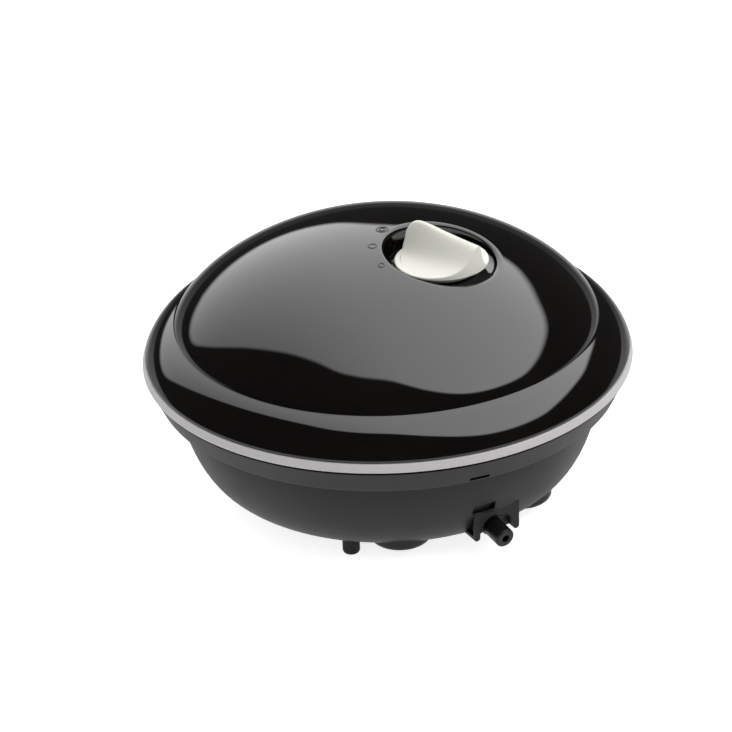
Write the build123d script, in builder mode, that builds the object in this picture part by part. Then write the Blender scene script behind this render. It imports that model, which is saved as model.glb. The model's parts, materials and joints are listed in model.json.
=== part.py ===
from build123d import *
import os
from math import cos, radians, sin, sqrt

os.makedirs("parts", exist_ok=True)

# Aquarium air pump: a round housing with a knob in its lid, an airline nozzle low in its
# side, and a twin-diaphragm pump inside. Millimetres, +Z up. The origin is at the middle of
# the surface that the feet stand on, and the nozzle points towards -Y.

# Housing outline
BODY_R = 65.0  # trim band, the widest point
SEAM_Z = 36.0  # lower edge of the trim band
TRIM_TOP_Z = 38.3
TRIM_TOP_R = 64.5
SPIGOT_RING_R = (59.0, 60.2)  # lip of the trim band inside the lower shell
RIM_R = 64.3  # lid's rim
RIM_Z = 38.9
CREASE_R = 56.0  # where the dome meets the sloping flange
CREASE_Z = 47.0
DOME_TOP_Z = 70.9
DOME_POWER = 0.735
COLLAR_TOP_R = 64.3
COLLAR_GAP = 0.8  # shadow gap under the trim band
COLLAR_LOW_R = 61.4
COLLAR_EDGE_R = 0.8
LEDGE_Z = 28.75  # underside of the collar
BOWL_TOP_R = 56.7
BOWL_LOW_R = 44.9
BOWL_LOW_Z = 4.6
BOWL_POWER = 1.64
WALL = 2.2
FLOOR_Z = 7.0  # inside floor

# Knob and its dish in the lid
KNOB_CENTRE = (8.4, -15.0)
KNOB_R = 12.2
KNOB_LOW_R = 10.8
KNOB_LOW_Z = 63.9
KNOB_EDGE_Z = 65.8
KNOB_RIM_Z = 66.5
KNOB_TOP_Z = 75.5
POINTER_ANGLE = 114.0
DISH_FLOOR_Z = 63.6
DISH_FLOOR_R = 12.6
DISH_CORNER_R = 2.3
SPINDLE_R = 3.0
MARK_RING_R = 17.7
MARKS = {179.0: 0.95, 149.5: 1.2, 120.0: 1.7}  # angle round the knob: radius of its ring
MARK_DEPTH = 0.3
MARK_LINE = 0.35

# Screw columns, at both ends of the mechanism
COLUMN_X = 18.4
COLUMN_Y = 36.1
COLUMN_R = 8.2
COLUMN_LOW_Z = 3.0
PILLAR_R = 4.0
PILLAR_TOP_Z = 40.0
SCREW_HEAD_SEAT_Z = 14.0
SCREW_WELL_R = 3.5
SCREW_R = 1.5

# Outlet
GUARD_Y = -53.4
GUARD_HALF_W = 6.75
GUARD_SPAN_Z = (6.0, 13.8)
ARCH_R = 5.0
ARCH_Z = 7.2
ARCH_DEPTH = 2.8
LEG_TIP_R = 0.8
NOZZLE_TIP = (0.0, -57.5, 6.9)
NOZZLE_R = 2.6
NOZZLE_FREE = 6.6  # length outside the wall
NOZZLE_LENGTH = 15.3
NOZZLE_SEAT_R = 2.9
NOZZLE_BORE_R = 1.05
NOZZLE_TILT = 6.0
SPOT_FACE_R = 3.9
RISER_Y = -44.0
RISER_R = 2.8
RISER_TOP_Z = 15.9
MANIFOLD_LOW_Z = 16.0

# Blind slot near the collar's lower edge
SLOT_ANGLE = -9.0  # from -Y, towards +X
SLOT_Z = 29.9
SLOT_SIZE = (5.2, 3.4, 0.9)

# Feet
FOOT_RING_R = 44.0
FOOT_ANGLES = (-44.0, 76.0, 180.0)  # from -Y, towards +X
FOOT_R = 2.25
FOOT_STEM_R = 1.5
FOOT_STEM_TOP_Z = 6.6

# Gland for the mains lead, in the back wall
GLAND_Z = 18.0
GLAND_FACE_Y = 56.2
GLAND_BORE_R = 2.7

# Intake filter, in a pocket under the base
FILTER_POCKET_R = 17.0
FILTER_ROOF_Z = 8.6
FILTER_COVER_TOP_Z = 6.2

# Mechanism
PLATE_Z = (13.0, 15.5)  # chassis plate
DRIVE_Z = 29.0  # height of the core, arms and diaphragms
CORE_Y = 12.0
POLE_X = 19.0
POLE_THICK = 4.0
POLE_HALF_W = 9.0
CORE_HALF_H = 6.0
MAGNET_GAP = 1.8
MAGNET_THICK = 3.0
ARM_THICK = 2.5
ARM_HALF_H = 7.0
PIVOT_Y = -20.0
PIVOT_R = 1.5
DIAPHRAGM_Y = -1.0
CHAMBER_X = (34.5, 40.0)
CHAMBER_HALF_W = 13.0
COVER_THICK = 2.0
HOSE_Z = 23.0
HOSE_R = 2.6
SPIGOT_R = 1.6
SPIGOT_BORE_R = 0.9
GROMMET_X = 33.5
GROMMET_Y = 19.0
GROMMET_R = 4.0
GROMMET_PIN_R = 1.5

# Board under the lid
BOARD_Z = (55.0, 56.6)
BOARD_X = (-13.5, 22.5)
BOARD_Y = (-26.0, 1.0)
BOARD_SCREW_R = 1.0

RUNNING = 0.05  # radial clearance of a shaft in its hole
SEATED = 0.05  # radial clearance of a piece fixed in its hole

CUP_LOW_Z = DISH_FLOOR_Z - WALL  # underside of the lid's cup round the spindle
MAGNET_X = POLE_X + MAGNET_GAP
ARM_X = MAGNET_X + MAGNET_THICK
ARM_OUT_X = ARM_X + ARM_THICK
PIVOT_X = ARM_X + ARM_THICK / 2
SIDES = {"left": -1, "right": 1}


def save(builder, name):
    """Label a finished piece and write it as its own STEP file."""
    builder.part.label = name
    export_step(builder.part, f"parts/{name}.step")


def ring_point(radius, angle):
    """A point in plan at an angle counted from -Y towards +X."""
    return (radius * sin(radians(angle)), -radius * cos(radians(angle)))


def block(x_span, y_span, z_span, mode=Mode.ADD):
    """A box between two limits along each axis."""
    spans = (x_span, y_span, z_span)
    with Locations(tuple(sum(span) / 2 for span in spans)):
        Box(*(abs(span[1] - span[0]) for span in spans), mode=mode)


def rod(plane, spots, radius, length, mode=Mode.ADD):
    """Round bars of one length, standing on a plane at the given spots."""
    with BuildSketch(plane) as section:
        with Locations(*spots):
            Circle(radius)
    extrude(section.sketch, amount=length, mode=mode)


def upright(spots, radius, z_span, mode=Mode.ADD):
    """Round bars along Z."""
    rod(Plane.XY.offset(z_span[0]), spots, radius, z_span[1] - z_span[0], mode)


def crossways(spots, radius, x_span, mode=Mode.ADD):
    """Round bars along X, at (y, z) spots."""
    rod(Plane.YZ.offset(x_span[0]), spots, radius, x_span[1] - x_span[0], mode)


def lengthways(spots, radius, y_span, mode=Mode.ADD):
    """Round bars along Y, at (x, z) spots."""
    plane = Plane(origin=(0, y_span[0], 0), x_dir=(1, 0, 0), z_dir=(0, -1, 0))
    rod(plane, spots, radius, y_span[0] - y_span[1], mode)


def dome_points(foot_r, foot_z, top_z):
    """The dome's curve, from its top to its steep foot."""
    turns = [radians(step) for step in range(0, 91, 10)]
    rise = top_z - foot_z
    return [(foot_r * sin(t), foot_z + rise * abs(cos(t)) ** (2 * DOME_POWER)) for t in turns]


def lid_section(drop=0.0):
    """Half of the lid's outer form, lowered by a small amount if asked."""
    with BuildSketch(Plane.XZ) as section:
        with BuildLine():
            Spline(*dome_points(CREASE_R, CREASE_Z - drop, DOME_TOP_Z - drop), tangents=((1, 0), (0, -1)))
            ThreePointArc((CREASE_R, CREASE_Z - drop), (60.9, 43.5 - drop), (RIM_R, RIM_Z - drop))
            Line((RIM_R, RIM_Z - drop), (RIM_R, TRIM_TOP_Z - drop))
            Line((RIM_R, TRIM_TOP_Z - drop), (0, TRIM_TOP_Z - drop))
            Line((0, TRIM_TOP_Z - drop), (0, DOME_TOP_Z - drop))
        make_face()
        crease = section.vertices().sort_by_distance((CREASE_R, CREASE_Z - drop))[0]
        fillet(crease, radius=1.0)
        lower_edge = section.vertices().sort_by_distance((RIM_R, TRIM_TOP_Z - drop))[0]
        fillet(lower_edge, radius=0.45)
    return section.sketch


def bowl_points(inset, low_z):
    """The bowl's side, from its foot up to the ledge, moved inwards by a wall's thickness."""
    points = []
    depth = LEDGE_Z - BOWL_LOW_Z
    for share in (1.0, 0.97, 0.88, 0.72, 0.5, 0.25, 0.0):
        radius = BOWL_LOW_R + (BOWL_TOP_R - BOWL_LOW_R) * sqrt(1 - share**BOWL_POWER)
        points.append((radius - inset, LEDGE_Z - depth * share + (low_z - BOWL_LOW_Z) * share))
    return points


columns = [(side * COLUMN_X, end * COLUMN_Y) for side in (-1, 1) for end in (-1, 1)]
grommets = [(side * GROMMET_X, end * GROMMET_Y) for side in (-1, 1) for end in (-1, 1)]
board_posts = [(x, y) for x in (-10.5, 19.5) for y in (-23.0, -2.0)]
knob_axis = Axis((*KNOB_CENTRE, 0), (0, 0, 1))
knob_plane = Plane(origin=(*KNOB_CENTRE, 0), x_dir=(1, 0, 0), z_dir=(0, -1, 0))
nozzle_inwards = (0, cos(radians(NOZZLE_TILT)), sin(radians(NOZZLE_TILT)))
nozzle_plane = Plane(NOZZLE_TIP, x_dir=(1, 0, 0), z_dir=nozzle_inwards)
nozzle_seat_plane = nozzle_plane.offset(NOZZLE_FREE)

# ---------------------------------------------------------------- lid
with BuildPart() as lid_cavity:
    with BuildSketch(Plane.XZ):
        with BuildLine():
            inner_foot = (CREASE_R - 2.4, CREASE_Z - 1.4)
            Spline(*dome_points(*inner_foot, DOME_TOP_Z - WALL), tangents=((1, 0), (0, -1)))
            Line(inner_foot, (RIM_R - 2.6, TRIM_TOP_Z))
            Line((RIM_R - 2.6, TRIM_TOP_Z), (0, TRIM_TOP_Z))
            Line((0, TRIM_TOP_Z), (0, DOME_TOP_Z - WALL))
        make_face()
    revolve(axis=Axis.Z)
    upright([KNOB_CENTRE], DISH_FLOOR_R + DISH_CORNER_R + WALL, (CUP_LOW_Z, DOME_TOP_Z), Mode.SUBTRACT)
    upright(columns, PILLAR_R, (PILLAR_TOP_Z, DOME_TOP_Z), Mode.SUBTRACT)
    upright(board_posts, 2.5, (BOARD_Z[1], DOME_TOP_Z), Mode.SUBTRACT)

with BuildPart() as scale_marks:
    revolve(lid_section(), axis=Axis.Z)
    revolve(lid_section(MARK_DEPTH), axis=Axis.Z, mode=Mode.SUBTRACT)
    with BuildSketch(Plane.XY.offset(CREASE_Z)):
        for mark_angle, mark_r in MARKS.items():
            mark_x = KNOB_CENTRE[0] + MARK_RING_R * cos(radians(mark_angle))
            mark_y = KNOB_CENTRE[1] + MARK_RING_R * sin(radians(mark_angle))
            with Locations((mark_x, mark_y)):
                Circle(mark_r)
                Circle(mark_r - MARK_LINE, mode=Mode.SUBTRACT)
    extrude(amount=DOME_TOP_Z - CREASE_Z + 1, mode=Mode.INTERSECT)

with BuildPart() as upper_shell:
    revolve(lid_section(), axis=Axis.Z)
    add(lid_cavity.part, mode=Mode.SUBTRACT)
    with BuildSketch(knob_plane):
        with BuildLine():
            floor_line = Line((0, DISH_FLOOR_Z), (DISH_FLOOR_R, DISH_FLOOR_Z))
            corner = JernArc(floor_line @ 1, (1, 0), DISH_CORNER_R, 90)
            Polyline(corner @ 1, (corner @ 1).add((0.4, 8)), (0, DOME_TOP_Z + 8), (0, DISH_FLOOR_Z))
        make_face()
    revolve(axis=knob_axis, mode=Mode.SUBTRACT)
    upright([KNOB_CENTRE], SPINDLE_R + 0.3, (CUP_LOW_Z, DISH_FLOOR_Z), Mode.SUBTRACT)
    upright(columns, SCREW_R + SEATED, (PILLAR_TOP_Z, PILLAR_TOP_Z + 10), Mode.SUBTRACT)
    upright(board_posts, BOARD_SCREW_R + SEATED, (BOARD_Z[1], BOARD_Z[1] + 4), Mode.SUBTRACT)
    for ring_mark in scale_marks.solids():
        add(ring_mark, mode=Mode.SUBTRACT)
save(upper_shell, "upper_shell")

# ---------------------------------------------------------------- trim band
with BuildPart() as trim_ring:
    with BuildSketch(Plane.XZ):
        with BuildLine():
            Polyline(
                (BODY_R, SEAM_Z),
                (BODY_R, SEAM_Z + 0.8),
                (TRIM_TOP_R, TRIM_TOP_Z),
                (SPIGOT_RING_R[0], TRIM_TOP_Z),
                (SPIGOT_RING_R[0], SEAM_Z - 2.6),
                (SPIGOT_RING_R[1], SEAM_Z - 2.6),
                (SPIGOT_RING_R[1], SEAM_Z),
                close=True,
            )
        make_face()
    revolve(axis=Axis.Z)
save(trim_ring, "trim_ring")

# ---------------------------------------------------------------- lower shell
with BuildPart() as shell_cavity:
    with BuildSketch(Plane.XZ):
        with BuildLine():
            side = bowl_points(WALL, FLOOR_Z)
            Spline(*side)
            Polyline(
                side[-1],
                (side[-1][0], LEDGE_Z + WALL),
                (59.4, LEDGE_Z + WALL),
                (COLLAR_TOP_R - WALL, SEAM_Z),
                (0, SEAM_Z),
                (0, FLOOR_Z),
                side[0],
            )
        make_face()
    revolve(axis=Axis.Z)
    upright(columns, SCREW_WELL_R + 2, (FLOOR_Z, SCREW_HEAD_SEAT_Z + WALL), Mode.SUBTRACT)
    upright(columns, PILLAR_R, (FLOOR_Z, SEAM_Z), Mode.SUBTRACT)
    upright([(0, 0)], FILTER_POCKET_R + 2, (FLOOR_Z, FILTER_ROOF_Z + 2), Mode.SUBTRACT)
    upright(grommets, GROMMET_PIN_R, (FLOOR_Z, 18.0), Mode.SUBTRACT)

with BuildPart() as outlet_guard:
    block((-GUARD_HALF_W, GUARD_HALF_W), (GUARD_Y, GUARD_Y + 9.0), GUARD_SPAN_Z)
    with BuildSketch(Plane.XZ.offset(-GUARD_Y)):
        with Locations((0, ARCH_Z)):
            Circle(ARCH_R)
        with Locations((0, GUARD_SPAN_Z[0])):
            Rectangle(2 * ARCH_R, 2 * (ARCH_Z - GUARD_SPAN_Z[0]))
    extrude(amount=-ARCH_DEPTH, mode=Mode.SUBTRACT)
    leg_tips = outlet_guard.edges().filter_by(Axis.Y).group_by(Axis.Z)[0]
    fillet(leg_tips, radius=LEG_TIP_R)
    block((-GUARD_HALF_W, -5.6), (-52.9, -48.4), (7.4, 13.0), Mode.SUBTRACT)

with BuildPart() as lower_shell:
    with BuildSketch(Plane.XZ) as shell_section:
        with BuildLine():
            side = bowl_points(0, BOWL_LOW_Z)
            Spline(*side)
            Polyline(
                side[-1],
                (COLLAR_LOW_R, LEDGE_Z),
                (COLLAR_TOP_R, SEAM_Z - COLLAR_GAP),
                (COLLAR_TOP_R - 0.9, SEAM_Z - COLLAR_GAP),
                (COLLAR_TOP_R - 0.9, SEAM_Z),
                (0, SEAM_Z),
                (0, BOWL_LOW_Z),
                side[0],
            )
        make_face()
        fillet(shell_section.vertices().sort_by_distance((COLLAR_LOW_R, LEDGE_Z))[0], radius=COLLAR_EDGE_R)
    revolve(axis=Axis.Z)
    upright(columns, COLUMN_R, (COLUMN_LOW_Z, 9.0))
    fillet(lower_shell.edges().filter_by(GeomType.CIRCLE).group_by(Axis.Z)[0], radius=1.4)
    add(outlet_guard.part)
    lengthways([(0, GLAND_Z)], 6.5, (GLAND_FACE_Y, 50.0))
    add(shell_cavity.part, mode=Mode.SUBTRACT)
    # pillars carry on above the rim, up to the lid's own
    upright(columns, PILLAR_R, (SEAM_Z - 1, PILLAR_TOP_Z))
    upright(columns, SCREW_WELL_R, (COLUMN_LOW_Z, SCREW_HEAD_SEAT_Z), Mode.SUBTRACT)
    upright(columns, SCREW_R + SEATED, (SCREW_HEAD_SEAT_Z, PILLAR_TOP_Z), Mode.SUBTRACT)
    # pocket for the intake filter, with its air holes
    upright([(0, 0)], FILTER_POCKET_R, (BOWL_LOW_Z, FILTER_ROOF_Z), Mode.SUBTRACT)
    with BuildSketch(Plane.XY.offset(FILTER_ROOF_Z)):
        with PolarLocations(9.0, 6):
            Circle(1.2)
    extrude(amount=2.0, mode=Mode.SUBTRACT)
    # holes for the feet
    foot_spots = [ring_point(FOOT_RING_R, angle) for angle in FOOT_ANGLES]
    upright(foot_spots, FOOT_STEM_R + SEATED, (BOWL_LOW_Z - 1, FOOT_STEM_TOP_Z + 0.1), Mode.SUBTRACT)
    # way out for the nozzle, with a spot face round it
    rod(nozzle_plane, [(0, 0)], SPOT_FACE_R, NOZZLE_FREE, Mode.SUBTRACT)
    rod(nozzle_plane, [(0, 0)], NOZZLE_SEAT_R + SEATED, NOZZLE_LENGTH + 0.3, Mode.SUBTRACT)
    # blind recess over the guard, and the blind slot above the collar's lower edge
    block((-7.3, -1.0), (-57.0, -52.6), (14.4, 17.0), Mode.SUBTRACT)
    slot_middle = (*ring_point(COLLAR_LOW_R, SLOT_ANGLE), SLOT_Z)
    with Locations(Location(slot_middle, (0, 0, SLOT_ANGLE))):
        Box(*SLOT_SIZE, mode=Mode.SUBTRACT)
    lengthways([(0, GLAND_Z)], 4.0 + SEATED, (GLAND_FACE_Y, 49.0), Mode.SUBTRACT)
save(lower_shell, "lower_shell")

# ---------------------------------------------------------------- feet
for number, foot_angle in enumerate(FOOT_ANGLES, start=1):
    foot_x, foot_y = ring_point(FOOT_RING_R, foot_angle)
    foot_axis = Axis((foot_x, foot_y, 0), (0, 0, 1))
    foot_plane = Plane(origin=(foot_x, foot_y, 0), x_dir=(1, 0, 0), z_dir=(0, -1, 0))
    with BuildPart() as rubber_foot:
        with BuildSketch(foot_plane) as foot_section:
            with BuildLine():
                Polyline(
                    (0, 0),
                    (FOOT_R, 0),
                    (FOOT_R, BOWL_LOW_Z - 0.1),
                    (FOOT_STEM_R, BOWL_LOW_Z - 0.1),
                    (FOOT_STEM_R, FOOT_STEM_TOP_Z),
                    (0, FOOT_STEM_TOP_Z),
                    close=True,
                )
            make_face()
            fillet(foot_section.vertices().sort_by_distance((FOOT_R, 0))[0], radius=0.9)
        revolve(axis=foot_axis)
    save(rubber_foot, f"rubber_foot_{number}")

# ---------------------------------------------------------------- knob
pointer_x = (cos(radians(POINTER_ANGLE)), sin(radians(POINTER_ANGLE)), 0)
pointer_side = (sin(radians(POINTER_ANGLE)), -cos(radians(POINTER_ANGLE)), 0)
with BuildPart() as knob_fin:
    with BuildSketch(Plane(origin=(*KNOB_CENTRE, 0), x_dir=pointer_x, z_dir=pointer_side)):
        with BuildLine():
            foot = Line((-10.6, KNOB_RIM_Z - 1), (11.0, KNOB_RIM_Z - 1))
            nose = Line(foot @ 1, (11.0, 72.0))
            crest = [nose @ 1, (7.5, KNOB_TOP_Z), (0, 74.2), (-10.6, 72.4)]
            Spline(*crest, tangents=((0, 1), (-1, -0.35)))
            Line(crest[-1], foot @ 0)
        make_face()
    extrude(amount=3.4, both=True)
    rim = knob_fin.edges().filter_by(lambda edge: edge.center().Z > KNOB_RIM_Z - 0.5)
    fillet(rim.filter_by(Axis((0, 0, 0), pointer_side), reverse=True), radius=2.2)

with BuildPart() as control_knob:
    with BuildSketch(knob_plane):
        with BuildLine():
            Polyline(
                (0, KNOB_LOW_Z),
                (KNOB_LOW_R, KNOB_LOW_Z),
                (KNOB_R, KNOB_EDGE_Z),
                (KNOB_R, KNOB_RIM_Z),
                (0, KNOB_RIM_Z),
                close=True,
            )
        make_face()
    revolve(axis=knob_axis)
    fillet(control_knob.edges().group_by(Axis.Z)[-1], radius=0.35)
    add(knob_fin.part)
    upright([KNOB_CENTRE], SPINDLE_R + 0.02, (KNOB_LOW_Z, 70.0), Mode.SUBTRACT)
save(control_knob, "control_knob")

with BuildPart() as knob_spindle:
    upright([KNOB_CENTRE], SPINDLE_R, (57.2, 69.9))
    chamfer(knob_spindle.edges().group_by(Axis.Z)[-1], length=0.5)
save(knob_spindle, "knob_spindle")

with BuildPart() as flow_potentiometer:
    px, py = KNOB_CENTRE
    block((px - 7, px + 7), (py - 7, py + 7), (BOARD_Z[1], CUP_LOW_Z - 0.2))
    fillet(flow_potentiometer.edges().filter_by(Axis.Z), radius=1.5)
    upright([KNOB_CENTRE], SPINDLE_R + RUNNING, (57.0, CUP_LOW_Z), Mode.SUBTRACT)
save(flow_potentiometer, "flow_potentiometer")

with BuildPart() as control_board:
    block(BOARD_X, BOARD_Y, BOARD_Z)
    fillet(control_board.edges().filter_by(Axis.Z), radius=1.5)
    upright(board_posts, BOARD_SCREW_R + 0.1, BOARD_Z, Mode.SUBTRACT)
save(control_board, "control_board")

with BuildPart() as board_capacitor:
    upright([(-6.0, -11.0)], 3.5, (45.5, BOARD_Z[0]))
    fillet(board_capacitor.edges().group_by(Axis.Z)[0], radius=0.6)
save(board_capacitor, "board_capacitor")

with BuildPart() as board_screws:
    upright(board_posts, BOARD_SCREW_R, (BOARD_Z[0], BOARD_Z[1] + 3.6))
    upright(board_posts, 1.9, (BOARD_Z[0] - 1.3, BOARD_Z[0]))
save(board_screws, "board_screws")

with BuildPart() as housing_screws:
    upright(columns, SCREW_R, (SCREW_HEAD_SEAT_Z, PILLAR_TOP_Z + 9))
    upright(columns, 2.9, (SCREW_HEAD_SEAT_Z - 2.2, SCREW_HEAD_SEAT_Z))
    for screw_x, screw_y in columns:
        for width, depth in ((3.2, 0.7), (0.7, 3.2)):
            slot_z = (SCREW_HEAD_SEAT_Z - 2.2, SCREW_HEAD_SEAT_Z - 1.2)
            block(
                (screw_x - width / 2, screw_x + width / 2),
                (screw_y - depth / 2, screw_y + depth / 2),
                slot_z,
                Mode.SUBTRACT,
            )
save(housing_screws, "housing_screws")

# ---------------------------------------------------------------- outlet
with BuildPart() as air_outlet_nozzle:
    rod(nozzle_plane, [(0, 0)], NOZZLE_R, NOZZLE_FREE)
    chamfer(air_outlet_nozzle.edges().group_by(Axis.Y)[0], length=0.4)
    rod(nozzle_seat_plane, [(0, 0)], NOZZLE_SEAT_R, NOZZLE_LENGTH - NOZZLE_FREE)
    upright([(0, RISER_Y)], RISER_R, (FLOOR_Z + 2.0, RISER_TOP_Z))
    rod(nozzle_plane, [(0, 0)], NOZZLE_BORE_R, NOZZLE_LENGTH - 0.7, Mode.SUBTRACT)
    upright([(0, RISER_Y)], NOZZLE_BORE_R, (FLOOR_Z + 1.4, RISER_TOP_Z), Mode.SUBTRACT)
save(air_outlet_nozzle, "air_outlet_nozzle")

with BuildPart() as outlet_manifold:
    block((-5.0, 5.0), (RISER_Y - 4, RISER_Y + 4), (MANIFOLD_LOW_Z, HOSE_Z + 4))
    fillet(outlet_manifold.edges().filter_by(Axis.Z), radius=1.5)
    crossways([(RISER_Y, HOSE_Z)], SPIGOT_R, (-10.0, 10.0))
    crossways([(RISER_Y, HOSE_Z)], SPIGOT_BORE_R, (-10.0, 10.0), Mode.SUBTRACT)
    upright([(0, RISER_Y)], 0.8, (MANIFOLD_LOW_Z, HOSE_Z), Mode.SUBTRACT)
save(outlet_manifold, "outlet_manifold")

SPIGOT_X = sum(CHAMBER_X) / 2
CHAMBER_Y = (DIAPHRAGM_Y - CHAMBER_HALF_W, DIAPHRAGM_Y + CHAMBER_HALF_W)
CHAMBER_Z = (DRIVE_Z - CHAMBER_HALF_W, DRIVE_Z + CHAMBER_HALF_W)
for side_name, sx in SIDES.items():
    with BuildPart() as air_hose:
        with BuildLine():
            FilletPolyline(
                (sx * 5.2, RISER_Y, HOSE_Z),
                (sx * 23.0, RISER_Y, HOSE_Z),
                (sx * SPIGOT_X, -29.0, HOSE_Z),
                (sx * SPIGOT_X, CHAMBER_Y[0] - 0.2, HOSE_Z),
                radius=9.0,
            )
        with BuildSketch(Plane(origin=(sx * 5.2, RISER_Y, HOSE_Z), z_dir=(sx, 0, 0))):
            Circle(HOSE_R)
            Circle(SPIGOT_R + SEATED, mode=Mode.SUBTRACT)
        sweep()
    save(air_hose, f"air_hose_{side_name}")

# ---------------------------------------------------------------- gland and wiring
with BuildPart() as cable_gland:
    with BuildSketch(Plane.YZ):
        with BuildLine():
            Polyline(
                (48.3, GLAND_Z + GLAND_BORE_R),
                (48.3, GLAND_Z + 5.2),
                (49.9, GLAND_Z + 5.2),
                (49.9, GLAND_Z + 4.0),
                (GLAND_FACE_Y + 0.05, GLAND_Z + 4.0),
                (GLAND_FACE_Y + 0.05, GLAND_Z + 5.6),
                (GLAND_FACE_Y + 1.4, GLAND_Z + 5.6),
                (60.0, GLAND_Z + 4.2),
                (60.0, GLAND_Z + GLAND_BORE_R),
                close=True,
            )
        make_face()
    revolve(axis=Axis((0, 0, GLAND_Z), (0, 1, 0)))
save(cable_gland, "cable_gland")

BLOCK_TOP_Z = FLOOR_Z + 12.0
with BuildPart() as terminal_block:
    block((-8.0, 8.0), (30.0, 40.0), (FLOOR_Z, BLOCK_TOP_Z))
    fillet(terminal_block.edges().filter_by(Axis.Z), radius=1.0)
    block((-0.6, 0.6), (30.0, 40.0), (BLOCK_TOP_Z - 3, BLOCK_TOP_Z), Mode.SUBTRACT)
    lengthways([(-4.0, 12.0), (4.0, 12.0)], 1.6, (40.0, 33.0), Mode.SUBTRACT)
save(terminal_block, "terminal_block")

with BuildPart() as terminal_screws:
    upright([(-4.0, 37.4), (4.0, 37.4)], 1.8, (BLOCK_TOP_Z, BLOCK_TOP_Z + 1.2))
save(terminal_screws, "terminal_screws")

WINDING_TOP_Z = DRIVE_Z + 11.5
WIRE_R = 0.8
wire_routes = [
    [(-3, 32.0, BLOCK_TOP_Z), (-3, 32.0, 46.0), (-3, 14.0, 46.0), (-3, 14.0, WINDING_TOP_Z)],
    [(3, 32.0, BLOCK_TOP_Z), (3, 32.0, 50.0), (3, -1.0, 50.0), (3, -1.0, BOARD_Z[0])],
]
with BuildPart() as internal_wires:
    for route in wire_routes:
        with BuildLine() as wire_path:
            FilletPolyline(*route, radius=4.0)
        with BuildSketch(Plane(origin=route[0], z_dir=(0, 0, 1))):
            Circle(WIRE_R)
        sweep(path=wire_path.wires()[0])
save(internal_wires, "internal_wires")

# ---------------------------------------------------------------- chassis on its grommets
STRAP_LEGS_Y = (CORE_Y - 10.4, CORE_Y + 10.4)
with BuildPart() as pump_chassis:
    block((-42, 42), (-25.5, 25.5), PLATE_Z)
    fillet(pump_chassis.edges().filter_by(Axis.Z), radius=8.0)
    upright(grommets, GROMMET_R - 1.2 + SEATED, PLATE_Z, Mode.SUBTRACT)
    with BuildSketch(Plane.XY.offset(PLATE_Z[0])):
        with Locations((0, -16)):
            SlotOverall(30, 9)
    extrude(amount=PLATE_Z[1] - PLATE_Z[0], mode=Mode.SUBTRACT)
    for sx in SIDES.values():
        # cradle for the pole, seat for the chamber, and the fork that holds the arm's pin
        cradle_x = (sx * (POLE_X - POLE_THICK + 0.2), sx * (POLE_X - 0.2))
        block(cradle_x, (CORE_Y - POLE_HALF_W, CORE_Y + POLE_HALF_W), (PLATE_Z[1], DRIVE_Z - CORE_HALF_H))
        seat_y = (DIAPHRAGM_Y - 8, DIAPHRAGM_Y + 8)
        block((sx * CHAMBER_X[0], sx * CHAMBER_X[1]), seat_y, (PLATE_Z[1], CHAMBER_Z[0]))
        fork_x = (sx * (PIVOT_X - 4), sx * (PIVOT_X + 4))
        block(fork_x, (-25.2, -23.7), (PLATE_Z[1], DRIVE_Z + 10))
        block(fork_x, (-25.2, PIVOT_Y + 3.5), (PLATE_Z[1], DRIVE_Z - ARM_HALF_H - 0.3))
        block(fork_x, (-25.2, PIVOT_Y + 3.5), (DRIVE_Z + ARM_HALF_H + 0.3, DRIVE_Z + 10))
        upright([(sx * PIVOT_X, PIVOT_Y)], PIVOT_R + SEATED, (PLATE_Z[1] + 1, DRIVE_Z + 10), Mode.SUBTRACT)
        for leg_y in STRAP_LEGS_Y:
            slot_y = (leg_y - 0.65, leg_y + 0.65)
            block(cradle_x, slot_y, (PLATE_Z[1] - 1.5, PLATE_Z[1]), Mode.SUBTRACT)
save(pump_chassis, "pump_chassis")

for number, (gx, gy) in enumerate(grommets, start=1):
    with BuildPart() as isolation_grommet:
        upright([(gx, gy)], GROMMET_R, (FLOOR_Z + 0.05, PLATE_Z[0] - 0.05))
        upright([(gx, gy)], GROMMET_R - 1.2, (PLATE_Z[0] - 0.05, PLATE_Z[1] + 0.05))
        upright([(gx, gy)], GROMMET_R, (PLATE_Z[1] + 0.05, PLATE_Z[1] + 1.5))
        upright([(gx, gy)], GROMMET_PIN_R + SEATED, (FLOOR_Z, PLATE_Z[1] + 2), Mode.SUBTRACT)
    save(isolation_grommet, f"isolation_grommet_{number}")

# ---------------------------------------------------------------- electromagnet
core_z = (DRIVE_Z - CORE_HALF_H, DRIVE_Z + CORE_HALF_H)
with BuildPart() as laminated_core:
    block((-POLE_X, POLE_X), (CORE_Y - 5, CORE_Y + 5), core_z)
    for sx in SIDES.values():
        pole_x = (sx * (POLE_X - POLE_THICK), sx * POLE_X)
        block(pole_x, (CORE_Y - POLE_HALF_W, CORE_Y + POLE_HALF_W), core_z)
save(laminated_core, "laminated_core")

with BuildPart() as coil_bobbin:
    block((-14.6, 14.6), (CORE_Y - 6.2, CORE_Y + 6.2), (DRIVE_Z - 7.2, DRIVE_Z + 7.2))
    for sx in SIDES.values():
        block((sx * 13.4, sx * 14.6), (CORE_Y - 12, CORE_Y + 12), (DRIVE_Z - 12.5, DRIVE_Z + 12.5))
    fillet(coil_bobbin.edges().filter_by(Axis.X).group_by(Axis.Z)[0], radius=2.0)
    block((-15, 15), (CORE_Y - 5.1, CORE_Y + 5.1), (core_z[0] - 0.1, core_z[1] + 0.1), Mode.SUBTRACT)
save(coil_bobbin, "coil_bobbin")

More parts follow.
